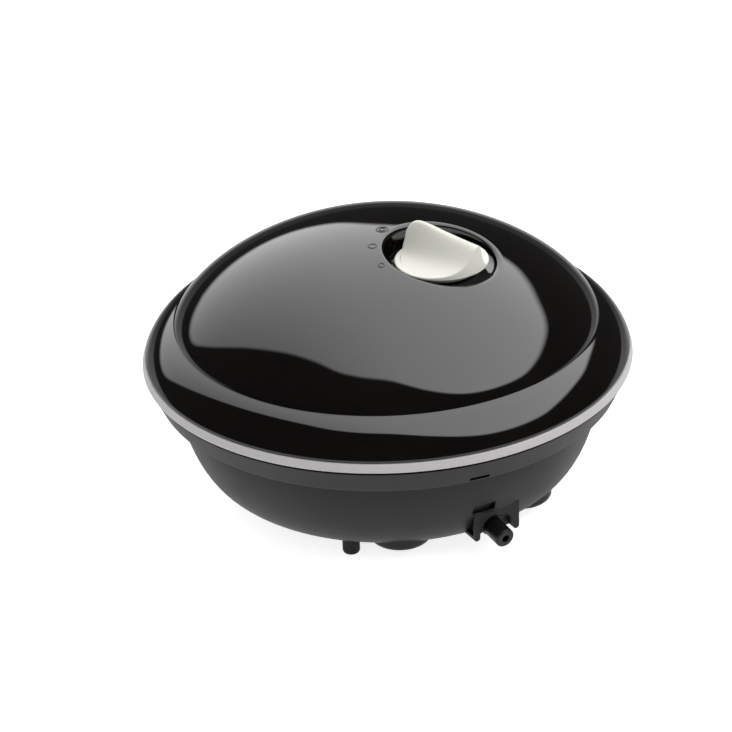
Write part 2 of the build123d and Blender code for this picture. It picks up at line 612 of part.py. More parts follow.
with BuildPart() as coil_winding:
    block((-13.3, 13.3), (CORE_Y - 11, CORE_Y + 11), (DRIVE_Z - 11.5, WINDING_TOP_Z))
    fillet(coil_winding.edges().filter_by(Axis.X), radius=3.5)
    block((-14, 14), (CORE_Y - 6.3, CORE_Y + 6.3), (DRIVE_Z - 7.3, DRIVE_Z + 7.3), Mode.SUBTRACT)
save(coil_winding, "coil_winding")

for side_name, sx in SIDES.items():
    with BuildPart() as core_strap:
        strap_x = (sx * (POLE_X - POLE_THICK + 0.3), sx * (POLE_X - 0.3))
        block(strap_x, (STRAP_LEGS_Y[0] - 0.6, STRAP_LEGS_Y[1] + 0.6), (core_z[1] + 0.05, core_z[1] + 1.25))
        for leg_y in STRAP_LEGS_Y:
            block(strap_x, (leg_y - 0.6, leg_y + 0.6), (PLATE_Z[1] - 1.4, core_z[1] + 1.25))
    save(core_strap, f"core_strap_{side_name}")

# ---------------------------------------------------------------- arms, diaphragms and valves
FLAP_OFFSET = 4.6
inlet_stem = (DIAPHRAGM_Y, DRIVE_Z + FLAP_OFFSET)
outlet_stem = (DIAPHRAGM_Y, DRIVE_Z - FLAP_OFFSET)
SCREW_INSET = CHAMBER_HALF_W - 2.4
cover_corners = [
    (DIAPHRAGM_Y + along, DRIVE_Z + up)
    for along in (-SCREW_INSET, SCREW_INSET)
    for up in (-SCREW_INSET, SCREW_INSET)
]
drive_centre = [(DIAPHRAGM_Y, DRIVE_Z)]
WEB_X = (CHAMBER_X[0], CHAMBER_X[0] + 1.6)
for side_name, sx in SIDES.items():
    pivot = [(sx * PIVOT_X, PIVOT_Y)]
    arm_z = (DRIVE_Z - ARM_HALF_H, DRIVE_Z + ARM_HALF_H)

    with BuildPart() as swing_arm:
        block((sx * ARM_X, sx * ARM_OUT_X), (PIVOT_Y, CORE_Y + 8), arm_z)
        fillet(swing_arm.edges().filter_by(Axis.X).group_by(Axis.Y)[-1], radius=2.5)
        upright(pivot, 3.2, arm_z)
        upright(pivot, PIVOT_R + RUNNING, arm_z, Mode.SUBTRACT)
        crossways(drive_centre, 1.2 + SEATED, (sx * (ARM_X - 1), sx * (ARM_OUT_X + 1)), Mode.SUBTRACT)
    save(swing_arm, f"swing_arm_{side_name}")

    with BuildPart() as arm_magnet:
        block((sx * MAGNET_X, sx * ARM_X), (CORE_Y - 7, CORE_Y + 7), (DRIVE_Z - 6, DRIVE_Z + 6))
        fillet(arm_magnet.edges().filter_by(Axis.X), radius=1.0)
    save(arm_magnet, f"arm_magnet_{side_name}")

    with BuildPart() as pivot_pin:
        upright(pivot, PIVOT_R, (PLATE_Z[1] + 1, DRIVE_Z + 9.8))
    save(pivot_pin, f"pivot_pin_{side_name}")

    with BuildPart() as diaphragm_clamp:
        crossways(drive_centre, 1.2, (sx * ARM_X, sx * 30.6))
        crossways(drive_centre, 2.6, (sx * (ARM_OUT_X + 0.02), sx * 28.0))
        crossways(drive_centre, 4.0, (sx * 29.3, sx * 30.4))
    save(diaphragm_clamp, f"diaphragm_clamp_{side_name}")

    with BuildPart() as diaphragm:
        with BuildSketch(Plane(origin=(0, DIAPHRAGM_Y, DRIVE_Z), x_dir=(sx, 0, 0), z_dir=(0, -sx, 0))):
            with BuildLine():
                Polyline(
                    (28.05, 1.25),
                    (28.05, 5.2),
                    (30.2, 8.6),
                    (30.2, 11.2),
                    (33.6, 11.2),
                    (33.6, 9.5),
                    (31.5, 9.5),
                    (31.5, 8.4),
                    (29.25, 4.7),
                    (29.25, 1.25),
                    close=True,
                )
            make_face()
        revolve(axis=Axis((0, DIAPHRAGM_Y, DRIVE_Z), (1, 0, 0)))
    save(diaphragm, f"diaphragm_{side_name}")

    with BuildPart() as valve_chamber:
        block((sx * CHAMBER_X[0], sx * CHAMBER_X[1]), CHAMBER_Y, CHAMBER_Z)
        fillet(valve_chamber.edges().filter_by(Axis.X), radius=2.5)
        crossways(drive_centre, 9.4, (sx * 31.6, sx * (CHAMBER_X[0] + 0.5)))
        crossways(drive_centre, 8.2, (sx * 31.6, sx * CHAMBER_X[0]), Mode.SUBTRACT)
        room_y = (CHAMBER_Y[0] + 1.8, CHAMBER_Y[1] - 1.8)
        for room_z in ((DRIVE_Z + 0.8, CHAMBER_Z[1] - 1.8), (CHAMBER_Z[0] + 1.8, DRIVE_Z - 0.8)):
            block((sx * WEB_X[1], sx * CHAMBER_X[1]), room_y, room_z, Mode.SUBTRACT)
        crossways(cover_corners, 2.3, (sx * WEB_X[1], sx * CHAMBER_X[1]))
        crossways(cover_corners, 1.0 + SEATED, (sx * WEB_X[1], sx * CHAMBER_X[1]), Mode.SUBTRACT)
        for stem in (inlet_stem, outlet_stem):
            crossways([stem], 0.8 + SEATED, (sx * WEB_X[0], sx * WEB_X[1]), Mode.SUBTRACT)
            with BuildSketch(Plane.YZ.offset(sx * WEB_X[0])):
                with Locations(stem):
                    with PolarLocations(2.1, 4, start_angle=45):
                        Circle(0.6)
            extrude(amount=sx * (WEB_X[1] - WEB_X[0]), mode=Mode.SUBTRACT)
        # air in at the top, and the outlet spigot at the front
        upright([(sx * SPIGOT_X, DIAPHRAGM_Y)], 1.4, (CHAMBER_Z[1] - 2, CHAMBER_Z[1]), Mode.SUBTRACT)
        spigot = [(sx * SPIGOT_X, HOSE_Z)]
        lengthways(spigot, SPIGOT_R, (CHAMBER_Y[0], CHAMBER_Y[0] - 5))
        lengthways(spigot, SPIGOT_BORE_R, (CHAMBER_Y[0] + 2, CHAMBER_Y[0] - 5), Mode.SUBTRACT)
    save(valve_chamber, f"valve_chamber_{side_name}")

    with BuildPart() as valve_flaps:
        crossways([inlet_stem], 3.4, (sx * (WEB_X[0] - 0.8), sx * WEB_X[0]))
        crossways([inlet_stem], 0.8, (sx * WEB_X[0], sx * (WEB_X[1] + 0.8)))
        crossways([outlet_stem], 3.4, (sx * WEB_X[1], sx * (WEB_X[1] + 0.8)))
        crossways([outlet_stem], 0.8, (sx * (WEB_X[0] - 0.8), sx * WEB_X[1]))
    save(valve_flaps, f"valve_flaps_{side_name}")

    with BuildPart() as chamber_cover:
        block((sx * CHAMBER_X[1], sx * (CHAMBER_X[1] + COVER_THICK)), CHAMBER_Y, CHAMBER_Z)
        fillet(chamber_cover.edges().filter_by(Axis.X), radius=2.5)
        crossways(cover_corners, 1.1, (sx * CHAMBER_X[1], sx * (CHAMBER_X[1] + COVER_THICK)), Mode.SUBTRACT)
    save(chamber_cover, f"chamber_cover_{side_name}")

with BuildPart() as chamber_screws:
    cover_face = CHAMBER_X[1] + COVER_THICK
    for sx in SIDES.values():
        crossways(cover_corners, 1.0, (sx * (WEB_X[1] + 0.2), sx * cover_face))
        crossways(cover_corners, 1.8, (sx * cover_face, sx * (cover_face + 1.2)))
save(chamber_screws, "chamber_screws")

# ---------------------------------------------------------------- intake filter in the base
with BuildPart() as intake_filter:
    upright([(0, 0)], FILTER_POCKET_R - 0.3, (FILTER_COVER_TOP_Z + 0.1, FILTER_ROOF_Z - 0.1))
save(intake_filter, "intake_filter")

with BuildPart() as filter_cover:
    upright([(0, 0)], FILTER_POCKET_R - 0.1, (BOWL_LOW_Z, FILTER_COVER_TOP_Z))
    with BuildSketch(Plane.XY.offset(BOWL_LOW_Z)):
        with GridLocations(1, 4, 1, 5):
            SlotOverall(18, 1.6)
    extrude(amount=FILTER_COVER_TOP_Z - BOWL_LOW_Z, mode=Mode.SUBTRACT)
save(filter_cover, "filter_cover")
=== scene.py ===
import json
import math

import bmesh
import bpy
from mathutils import Matrix, Vector


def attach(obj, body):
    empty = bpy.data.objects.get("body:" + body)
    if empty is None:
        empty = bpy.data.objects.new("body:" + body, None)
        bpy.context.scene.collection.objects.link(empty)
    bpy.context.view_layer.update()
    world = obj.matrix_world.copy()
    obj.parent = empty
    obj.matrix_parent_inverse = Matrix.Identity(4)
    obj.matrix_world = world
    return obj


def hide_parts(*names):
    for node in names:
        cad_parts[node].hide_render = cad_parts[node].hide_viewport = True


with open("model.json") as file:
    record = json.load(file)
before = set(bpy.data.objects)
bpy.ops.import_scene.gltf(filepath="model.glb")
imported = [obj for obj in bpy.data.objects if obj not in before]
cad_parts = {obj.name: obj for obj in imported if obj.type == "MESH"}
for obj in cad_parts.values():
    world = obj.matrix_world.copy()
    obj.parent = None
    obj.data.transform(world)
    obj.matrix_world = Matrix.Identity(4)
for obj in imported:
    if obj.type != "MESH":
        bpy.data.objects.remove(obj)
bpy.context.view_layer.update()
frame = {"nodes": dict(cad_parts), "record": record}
MM = 0.001
TAU = 2 * math.pi


# ---------------------------------------------------------------- camera
CAMERA_AZIMUTH = math.radians(-29.5)
CAMERA_ELEVATION = math.radians(27.66)
CAMERA_DISTANCE = 0.650
CAMERA_ROLL = math.radians(-1.96)
CAMERA_TARGET = Vector((0, 0, 0.036))

camera_data = bpy.data.cameras.new("camera")
camera = bpy.data.objects.new("camera", camera_data)
bpy.context.scene.collection.objects.link(camera)
bpy.context.scene.camera = camera
camera_back = Vector(
    (
        math.sin(CAMERA_AZIMUTH) * math.cos(CAMERA_ELEVATION),
        -math.cos(CAMERA_AZIMUTH) * math.cos(CAMERA_ELEVATION),
        math.sin(CAMERA_ELEVATION),
    )
)
camera.location = CAMERA_TARGET + camera_back * CAMERA_DISTANCE
camera.rotation_mode = "QUATERNION"
camera.rotation_quaternion = (-camera_back).to_track_quat("-Z", "Y") @ Matrix.Rotation(
    CAMERA_ROLL, 3, "Z"
).to_quaternion()
camera_data.sensor_width = 36.0
camera_data.lens = 120.18
camera_data.shift_x = -0.0293
camera_data.shift_y = -0.0228
camera_data.clip_start = 0.01
camera_data.clip_end = 20.0
bpy.context.scene.view_settings.view_transform = "Standard"


# ---------------------------------------------------------------- node helpers
def new_material(name):
    """An empty node material with its Principled shader."""
    material = bpy.data.materials.new(name)
    material.use_nodes = True
    return material, material.node_tree, material.node_tree.nodes["Principled BSDF"]


def object_coords(tree, stretch=(1, 1, 1)):
    """The object's own coordinates, stretched along each axis."""
    coords = tree.nodes.new("ShaderNodeTexCoord")
    mapping = tree.nodes.new("ShaderNodeMapping")
    mapping.inputs["Scale"].default_value = stretch
    tree.links.new(coords.outputs["Object"], mapping.inputs["Vector"])
    return mapping.outputs["Vector"]


def noise(tree, vector, scale, detail=3.0, roughness=0.5):
    node = tree.nodes.new("ShaderNodeTexNoise")
    node.inputs["Scale"].default_value = scale
    node.inputs["Detail"].default_value = detail
    node.inputs["Roughness"].default_value = roughness
    tree.links.new(vector, node.inputs["Vector"])
    return node.outputs["Fac"]


def ranged(tree, value, low, high, start=0.3, end=0.7):
    """A texture's value, spread between two limits."""
    node = tree.nodes.new("ShaderNodeMapRange")
    node.inputs["From Min"].default_value = start
    node.inputs["From Max"].default_value = end
    node.inputs["To Min"].default_value = low
    node.inputs["To Max"].default_value = high
    tree.links.new(value, node.inputs["Value"])
    return node.outputs["Result"]


def two_tone(tree, value, dark, light, start=0.3, end=0.7):
    """A colour that a texture moves between two tones."""
    ramp = tree.nodes.new("ShaderNodeValToRGB")
    ramp.color_ramp.elements[0].position = start
    ramp.color_ramp.elements[1].position = end
    ramp.color_ramp.elements[0].color = (*dark, 1)
    ramp.color_ramp.elements[1].color = (*light, 1)
    tree.links.new(value, ramp.inputs["Fac"])
    return ramp.outputs["Color"]


def shade(color, factor):
    return tuple(min(1.0, channel * factor) for channel in color)


def bump(tree, bsdf, value, depth, strength=1.0, below=None):
    """Relief of a real depth in metres."""
    node = tree.nodes.new("ShaderNodeBump")
    node.inputs["Strength"].default_value = strength
    node.inputs["Distance"].default_value = depth
    tree.links.new(value, node.inputs["Height"])
    if below:
        tree.links.new(below, node.inputs["Normal"])
    tree.links.new(node.outputs["Normal"], bsdf.inputs["Normal"])
    return node.outputs["Normal"]


def plastic(
    name, color, roughness, grain=0.00025, depth=0.000004, variation=0.06, ior=1.5, edge=0.0002
):
    """Moulded plastic: eroded-tool grain, faint flow variation and uneven gloss."""
    material, tree, bsdf = new_material(name)
    vector = object_coords(tree)
    broad = noise(tree, vector, 55.0, 4.0)
    tone = two_tone(tree, broad, shade(color, 1 - variation), shade(color, 1 + variation))
    tree.links.new(tone, bsdf.inputs["Base Color"])
    tree.links.new(ranged(tree, broad, roughness[0], roughness[1]), bsdf.inputs["Roughness"])
    bsdf.inputs["IOR"].default_value = ior
    rounded = tree.nodes.new("ShaderNodeBevel")
    rounded.samples = 4
    rounded.inputs["Radius"].default_value = edge
    fine = noise(tree, vector, 1.0 / grain, 2.0)
    bump(tree, bsdf, fine, depth, below=rounded.outputs["Normal"])
    return material


def rubber(name, color):
    """Moulded rubber: matt, with a dusty bloom and a fine skin."""
    material, tree, bsdf = new_material(name)
    vector = object_coords(tree)
    bloom = noise(tree, vector, 240.0, 5.0, 0.6)
    tone = two_tone(tree, bloom, shade(color, 0.75), shade(color, 1.5))
    tree.links.new(tone, bsdf.inputs["Base Color"])
    tree.links.new(ranged(tree, bloom, 0.55, 0.8), bsdf.inputs["Roughness"])
    bump(tree, bsdf, noise(tree, vector, 2500.0, 3.0), 0.00001)
    return material


def metal(name, color, roughness, stretch=(1, 1, 30), scale=300.0):
    """Drawn or plated metal: fine lines along one axis."""
    material, tree, bsdf = new_material(name)
    lines = noise(tree, object_coords(tree, stretch), scale, 4.0, 0.6)
    tone = two_tone(tree, lines, shade(color, 0.8), shade(color, 1.1))
    tree.links.new(tone, bsdf.inputs["Base Color"])
    tree.links.new(ranged(tree, lines, roughness[0], roughness[1]), bsdf.inputs["Roughness"])
    bsdf.inputs["Metallic"].default_value = 1.0
    bump(tree, bsdf, lines, 0.000006)
    return material


def banded(name, dark, light, pitch, axis, metallic, roughness, depth):
    """A stack of sheets or turns of wire: bands of a real pitch along one axis."""
    material, tree, bsdf = new_material(name)
    wave = tree.nodes.new("ShaderNodeTexWave")
    wave.bands_direction = axis
    wave.inputs["Scale"].default_value = TAU / pitch / 20
    wave.inputs["Distortion"].default_value = 0.4
    tree.links.new(object_coords(tree), wave.inputs["Vector"])
    tone = two_tone(tree, wave.outputs["Fac"], dark, light, 0.1, 0.6)
    tree.links.new(tone, bsdf.inputs["Base Color"])
    gloss = ranged(tree, wave.outputs["Fac"], roughness[0], roughness[1], 0, 1)
    tree.links.new(gloss, bsdf.inputs["Roughness"])
    bsdf.inputs["Metallic"].default_value = metallic
    bump(tree, bsdf, wave.outputs["Fac"], depth)
    return material


def board(name):
    """Circuit board: solder mask over copper tracks."""
    material, tree, bsdf = new_material(name)
    brick = tree.nodes.new("ShaderNodeTexBrick")
    brick.inputs["Scale"].default_value = 260.0
    brick.inputs["Mortar Size"].default_value = 0.06
    brick.inputs["Color1"].default_value = (0.012, 0.11, 0.045, 1)
    brick.inputs["Color2"].default_value = (0.015, 0.14, 0.06, 1)
    brick.inputs["Mortar"].default_value = (0.03, 0.22, 0.09, 1)
    tree.links.new(object_coords(tree), brick.inputs["Vector"])
    tree.links.new(brick.outputs["Color"], bsdf.inputs["Base Color"])
    bsdf.inputs["Roughness"].default_value = 0.32
    bump(tree, bsdf, brick.outputs["Fac"], 0.00003)
    return material


def felt(name, color):
    """Needled felt: tangled fibres and sheen."""
    material, tree, bsdf = new_material(name)
    vector = object_coords(tree)
    fibres = noise(tree, vector, 1400.0, 8.0, 0.75)
    tone = two_tone(tree, fibres, shade(color, 0.7), shade(color, 1.1))
    tree.links.new(tone, bsdf.inputs["Base Color"])
    bsdf.inputs["Roughness"].default_value = 0.95
    bsdf.inputs["Sheen Weight"].default_value = 0.4
    bump(tree, bsdf, fibres, 0.0002)
    return material


# name: colour, roughness limits, then any of grain, depth, variation, ior, edge
PLASTICS = {
    "lid_gloss_black": ((0.0035, 0.0028, 0.0024), (0.035, 0.055), 0.002, 0.0000004, 0.3, 1.75, 0.0001),
    "trim_light_grey": ((0.56, 0.54, 0.545), (0.34, 0.42), 0.0003, 0.000003, 0.03),
    "shell_dark_grey": ((0.0125, 0.0095, 0.0107), (0.42, 0.52), 0.0003, 0.000012, 0.15, 1.46),
    "knob_ivory": ((0.735, 0.735, 0.665), (0.30, 0.38), 0.0004, 0.000003, 0.02),
    "black_plastic": ((0.010, 0.0095, 0.010), (0.34, 0.46), 0.0003, 0.000008, 0.2),
    "chassis_white": ((0.60, 0.60, 0.57), (0.42, 0.52), 0.0004, 0.000008, 0.04),
    "hose_translucent": ((0.62, 0.64, 0.61), (0.24, 0.34), 0.0012, 0.00001, 0.05, 1.41),
    "capacitor_sleeve": ((0.02, 0.035, 0.12), (0.18, 0.26), 0.0008, 0.000004, 0.1),
    "wire_insulation": ((0.05, 0.11, 0.36), (0.32, 0.42), 0.0006, 0.000006, 0.1),
}
MATERIALS = {name: plastic(name, *settings) for name, settings in PLASTICS.items()}
MATERIALS["black_rubber"] = rubber("black_rubber", (0.017, 0.017, 0.018))
MATERIALS["zinc_steel"] = metal("zinc_steel", (0.60, 0.61, 0.62), (0.24, 0.38))
MATERIALS["magnet_dark"] = metal("magnet_dark", (0.14, 0.14, 0.15), (0.45, 0.65), (1, 1, 1), 900.0)
MATERIALS["silicon_steel"] = banded(
    "silicon_steel", (0.10, 0.10, 0.11), (0.36, 0.36, 0.38), 0.0005, "Z", 0.9, (0.3, 0.5), 0.00006
)
MATERIALS["copper_enamel"] = banded(
    "copper_enamel", (0.22, 0.07, 0.02), (0.66, 0.27, 0.10), 0.00035, "X", 0.85, (0.2, 0.4), 0.00012
)
MATERIALS["board_green"] = board("board_green")
MATERIALS["filter_felt"] = felt("filter_felt", (0.72, 0.72, 0.69))

slot_of = {entry["node"]: entry["material_slot"] for entry in frame["record"]["subparts"]}
for node_name, node_object in frame["nodes"].items():
    node_object.data.materials.clear()
    node_object.data.materials.append(MATERIALS[slot_of[node_name]])


# ---------------------------------------------------------------- mesh helpers
def make_piece(name, verts, faces, slot_name, body, *nodes, sharp=None):
    """A smooth-shaded mesh given in millimetres, with outward faces, riding on a body."""
    mesh = bpy.data.meshes.new(name)
    mesh.from_pydata([Vector(v) * MM for v in verts], [], faces)
    work = bmesh.new()
    work.from_mesh(mesh)
    bmesh.ops.remove_doubles(work, verts=work.verts, dist=1e-7)
    bmesh.ops.recalc_face_normals(work, faces=work.faces)
    work.to_mesh(mesh)
    work.free()
    mesh.polygons.foreach_set("use_smooth", [True] * len(mesh.polygons))
    if sharp:
        mesh.set_sharp_from_angle(angle=math.radians(sharp))
    mesh.materials.append(MATERIALS[slot_name])
    piece = bpy.data.objects.new(name, mesh)
    bpy.context.scene.collection.objects.link(piece)
    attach(piece, body)
    if nodes:
        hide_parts(*nodes)
    return piece


def ring_faces(rings, count, closed=False):
    """Quads between neighbouring rings of the same number of points."""
    faces = []
    for k in range(rings if closed else rings - 1):
        low, high = k * count, ((k + 1) % rings) * count
        for i in range(count):
            j = (i + 1) % count
            faces.append((low + i, low + j, high + j, high + i))
    return faces


def lathe(profile, count):
    """Points and faces of a turned shape: (radius, z) pairs about a vertical axis."""
    verts = []
    for radius, z in profile:
        for i in range(count):
            turn = TAU * i / count
            verts.append((radius * math.cos(turn), radius * math.sin(turn), z))
    return verts, ring_faces(len(profile), count, closed=True)


def rounded_profile(points, radii, steps=5):
    """A closed outline whose corners are rounded by short curves."""
    result = []
    total = len(points)
    for k, (point, radius) in enumerate(zip(points, radii)):
        here = Vector(point)
        before = Vector(points[k - 1]) - here
        after = Vector(points[(k + 1) % total]) - here
        if radius == 0:
            result.append(tuple(here))
            continue
        start = here + before.normalized() * min(radius, before.length * 0.45)
        end = here + after.normalized() * min(radius, after.length * 0.45)
        for s in range(steps + 1):
            t = s / steps
            result.append(tuple(start * (1 - t) ** 2 + here * 2 * t * (1 - t) + end * t * t))
    return result


# ---------------------------------------------------------------- lid
CREASE_R, CREASE_Z = 56.0, 47.0
DOME_RISE, DOME_POWER = 23.9, 0.735
RIM_R, RIM_Z, LID_LOW_Z = 64.3, 38.9, 38.3
joints = frame["record"]["behaviour"]["joints"]
knob_joint = next(joint for joint in joints if joint["name"] == "knob_turn")
KNOB_X, KNOB_Y = (round(value / MM, 3) for value in knob_joint["pos_m"][:2])
DISH_FLOOR_Z, DISH_FLOOR_R, DISH_CORNER_R, DISH_HOLE_R = 63.6, 12.5, 1.9, 3.3
DISH_LOW_Z = DISH_FLOOR_Z - 2.2  # underside of the dish's floor
DISH_LIP_W = 1.5
CUP_R = 17.1  # the cup below the dish, as the lid's underside meets it
INNER_R, INNER_Z, INNER_RISE = 53.6, 45.6, 23.1  # the dome's underside
INNER_EDGE_R = 44.0


def dome_z(x, y, foot_r=CREASE_R, foot_z=CREASE_Z, rise=DOME_RISE):
    inside = max(0.0, 1 - (x * x + y * y) / foot_r**2)
    return foot_z + rise * inside**DOME_POWER


def inner_z(x, y):
    """The dome's underside."""
    return dome_z(x, y, INNER_R, INNER_Z, INNER_RISE)


def arc_through(a, b, c, steps):
    """Points on the circle through three points in a plane."""
    (ax, ay), (bx, by), (cx, cy) = a, b, c
    a2, b2, c2 = ax**2 + ay**2, bx**2 + by**2, cx**2 + cy**2
    d = 2 * (ax * (by - cy) + bx * (cy - ay) + cx * (ay - by))
    ux = (a2 * (by - cy) + b2 * (cy - ay) + c2 * (ay - by)) / d
    uy = (a2 * (cx - bx) + b2 * (ax - cx) + c2 * (bx - ax)) / d
    radius = math.hypot(ax - ux, ay - uy)
    first, last = math.atan2(ay - uy, ax - ux), math.atan2(cy - uy, cx - ux)
    turns = [first + (last - first) * s / steps for s in range(steps + 1)]
    return [(ux + radius * math.cos(t), uy + radius * math.sin(t)) for t in turns]


def dish_point(length):
    """The dish's profile, by its length from the middle of its floor: (distance, z)."""
    if length <= DISH_FLOOR_R:
        return length, DISH_FLOOR_Z
    bend = (length - DISH_FLOOR_R) / DISH_CORNER_R
    if bend <= math.pi / 2:
        return (
            DISH_FLOOR_R + DISH_CORNER_R * math.sin(bend),
            DISH_FLOOR_Z + DISH_CORNER_R * (1 - math.cos(bend)),
        )
    rest = length - DISH_FLOOR_R - DISH_CORNER_R * math.pi / 2
    return DISH_FLOOR_R + DISH_CORNER_R + rest * 0.05, DISH_FLOOR_Z + DISH_CORNER_R + rest


def lid_rings():
    """The lid's rings of points: from the dish's hole out to the rim, then back along the underside."""
    count = 384
    lips = []
    for i in range(count):
        turn = TAU * i / count
        c, s = math.cos(turn), math.sin(turn)
        low, high = DISH_FLOOR_R, 30.0
        for _ in range(40):
            middle = (low + high) / 2
            radius, z = dish_point(middle)
            if z < dome_z(KNOB_X + radius * c, KNOB_Y + radius * s):
                low = middle
            else:
                high = middle
        lips.append((c, s, low))
    rings = []
    rings.append([(KNOB_X + DISH_HOLE_R * c, KNOB_Y + DISH_HOLE_R * s, DISH_LOW_Z) for c, s, _ in lips])
    inner_steps = 26
    for k in range(inner_steps + 1):
        ring = []
        for c, s, lip in lips:
            share = (k / inner_steps) ** 0.7
            radius, z = dish_point(DISH_HOLE_R + (lip - DISH_LIP_W - DISH_HOLE_R) * share)
            ring.append((KNOB_X + radius * c, KNOB_Y + radius * s, z))
        rings.append(ring)
    lip_steps = 14
    starts = []
    for k in range(1, lip_steps + 1):
        ring = []
        t = k / lip_steps
        for c, s, lip in lips:
            a_r, a_z = dish_point(lip - DISH_LIP_W)
            p_r, p_z = dish_point(lip)
            b_r = p_r + DISH_LIP_W
            b_z = dome_z(KNOB_X + b_r * c, KNOB_Y + b_r * s)
            radius = a_r * (1 - t) ** 2 + p_r * 2 * t * (1 - t) + b_r * t * t
            z = a_z * (1 - t) ** 2 + p_z * 2 * t * (1 - t) + b_z * t * t
            ring.append((KNOB_X + radius * c, KNOB_Y + radius * s, z))
            if k == lip_steps:
                starts.append((KNOB_X + b_r * c, KNOB_Y + b_r * s))
        rings.append(ring)
    # out to a circle about the lid's own axis
    join_r, join_steps = 48.0, 44
    for k in range(1, join_steps + 1):
        t = (k / join_steps) ** 1.25
        ring = []
        for (c, s, _), (x0, y0) in zip(lips, starts):
            x = x0 + (join_r * c - x0) * t
            y = y0 + (join_r * s - y0) * t
            ring.append((x, y, dome_z(x, y)))
        rings.append(ring)
    # down the dome's foot, round the crease and down the flange
    profile = []
    first = math.asin(join_r / CREASE_R)
    foot_steps = 22
    for k in range(1, foot_steps + 1):
        t = first + (math.radians(88.2) - first) * k / foot_steps
        profile.append((CREASE_R * math.sin(t), CREASE_Z + DOME_RISE * math.cos(t) ** (2 * DOME_POWER)))
    flange = arc_through((CREASE_R, CREASE_Z), (60.9, 43.8), (RIM_R, RIM_Z), 28)
    wide = [p for p in flange if p[0] > CREASE_R + 0.75]
    start, corner, end = Vector(profile[-1]), Vector((CREASE_R, CREASE_Z)), Vector(wide[0])
    for k in range(1, 9):
        t = k / 9
        profile.append(tuple(start * (1 - t) ** 2 + corner * 2 * t * (1 - t) + end * t * t))
    profile += wide
    profile += [(RIM_R - 0.06, LID_LOW_Z + 0.3), (RIM_R - 0.2, LID_LOW_Z + 0.08)]
    profile += [(RIM_R - 0.45, LID_LOW_Z)]
    profile += [(61.7, LID_LOW_Z), (INNER_R, INNER_Z)]
    profile += [(radius, inner_z(radius, 0)) for radius in (50.0, INNER_EDGE_R)]
    for radius, z in profile:
        rings.append([(radius * c, radius * s, z) for c, s, _ in lips])
    # inside: the dome's underside and the cup below the dish
    for k in range(1, 9):
        t = k / 8
        ring = []
        for c, s, _ in lips:
            x = INNER_EDGE_R * c + (KNOB_X + CUP_R * c - INNER_EDGE_R * c) * t
            y = INNER_EDGE_R * s + (KNOB_Y + CUP_R * s - INNER_EDGE_R * s) * t
            ring.append((x, y, inner_z(x, y)))
        rings.append(ring)
    rings.append([(x, y, min(z - 0.02, DISH_LOW_Z)) for x, y, z in rings[-1]])
    return rings, count


lid, lid_count = lid_rings()
make_piece(
    "lid_shell",
    [point for ring in lid for point in ring],
    ring_faces(len(lid), lid_count, closed=True),
    "lid_gloss_black",
    "housing",
    "upper_shell",
)


# ---------------------------------------------------------------- rings of the output scale
MARK_RING_R = 17.7
MARKS = [(179.0, 0.8), (149.0, 1.05), (118.5, 1.55), (118.5, 0.8)]  # angle round the knob, radius
BEAD_R = 0.19
mark_verts, mark_faces = [], []
for mark_angle, mark_r in MARKS:
    turn = math.radians(mark_angle)
    centre = (KNOB_X + MARK_RING_R * math.cos(turn), KNOB_Y + MARK_RING_R * math.sin(turn))
    around, across = 48, 12
    base = len(mark_verts)
    for i in range(around):
        t = TAU * i / around
        for k in range(across):
            p = TAU * k / across
            x = centre[0] + (mark_r + BEAD_R * math.cos(p)) * math.cos(t)
            y = centre[1] + (mark_r + BEAD_R * math.cos(p)) * math.sin(t)
            mark_verts.append((x, y, dome_z(x, y) + BEAD_R * math.sin(p) - 0.03))
    for face in ring_faces(around, across, closed=True):
        mark_faces.append(tuple(base + v for v in face))
make_piece("lid_scale_rings", mark_verts, mark_faces, "lid_gloss_black", "housing")


# ---------------------------------------------------------------- trim band
# section of the band: radius, z
trim_points = [
    (65.0, 36.0), (65.0, 36.8), (64.5, 38.3), (59.0, 38.3), (59.0, 33.4), (60.2, 33.4), (60.2, 36.0),
]
trim_radii = [0.25, 0.5, 0.35, 0.2, 0.2, 0.2, 0.2]
verts, faces = lathe(rounded_profile(trim_points, trim_radii), 320)
make_piece("trim_band", verts, faces, "trim_light_grey", "housing", "trim_ring")


# ---------------------------------------------------------------- knob
KNOB_R, KNOB_LOW_Z, KNOB_RIM_Z = 12.2, 63.9, 66.5
POINTER = math.radians(114.0)
# the grip's ridge: distance along the pointer, height over the disc
RIDGE = [
    (-13.0, 5.0), (-10.6, 6.4), (-8.0, 6.8), (-4.0, 7.3), (0.0, 7.9), (3.5, 8.6),
    (6.3, 9.0), (8.2, 8.6), (9.6, 7.4), (10.6, 5.8), (12, 4.0),
]


def crest(p):
    """Height of the grip's ridge over the disc, by a smooth curve through its points."""
    for k in range(1, len(RIDGE) - 2):
        (p0, h0), (p1, h1), (p2, h2), (p3, h3) = RIDGE[k - 1 : k + 3]
        if p1 <= p <= p2:
            t = (p - p1) / (p2 - p1)
            m1 = (h2 - h0) / (p2 - p0) * (p2 - p1)
            m2 = (h3 - h1) / (p3 - p1) * (p2 - p1)
            ends = (2 * t**3 - 3 * t * t + 1) * h1 + (3 * t * t - 2 * t**3) * h2
            return ends + (t**3 - 2 * t * t + t) * m1 + (t**3 - t * t) * m2
    return RIDGE[1][1] if p < 0 else RIDGE[-2][1]


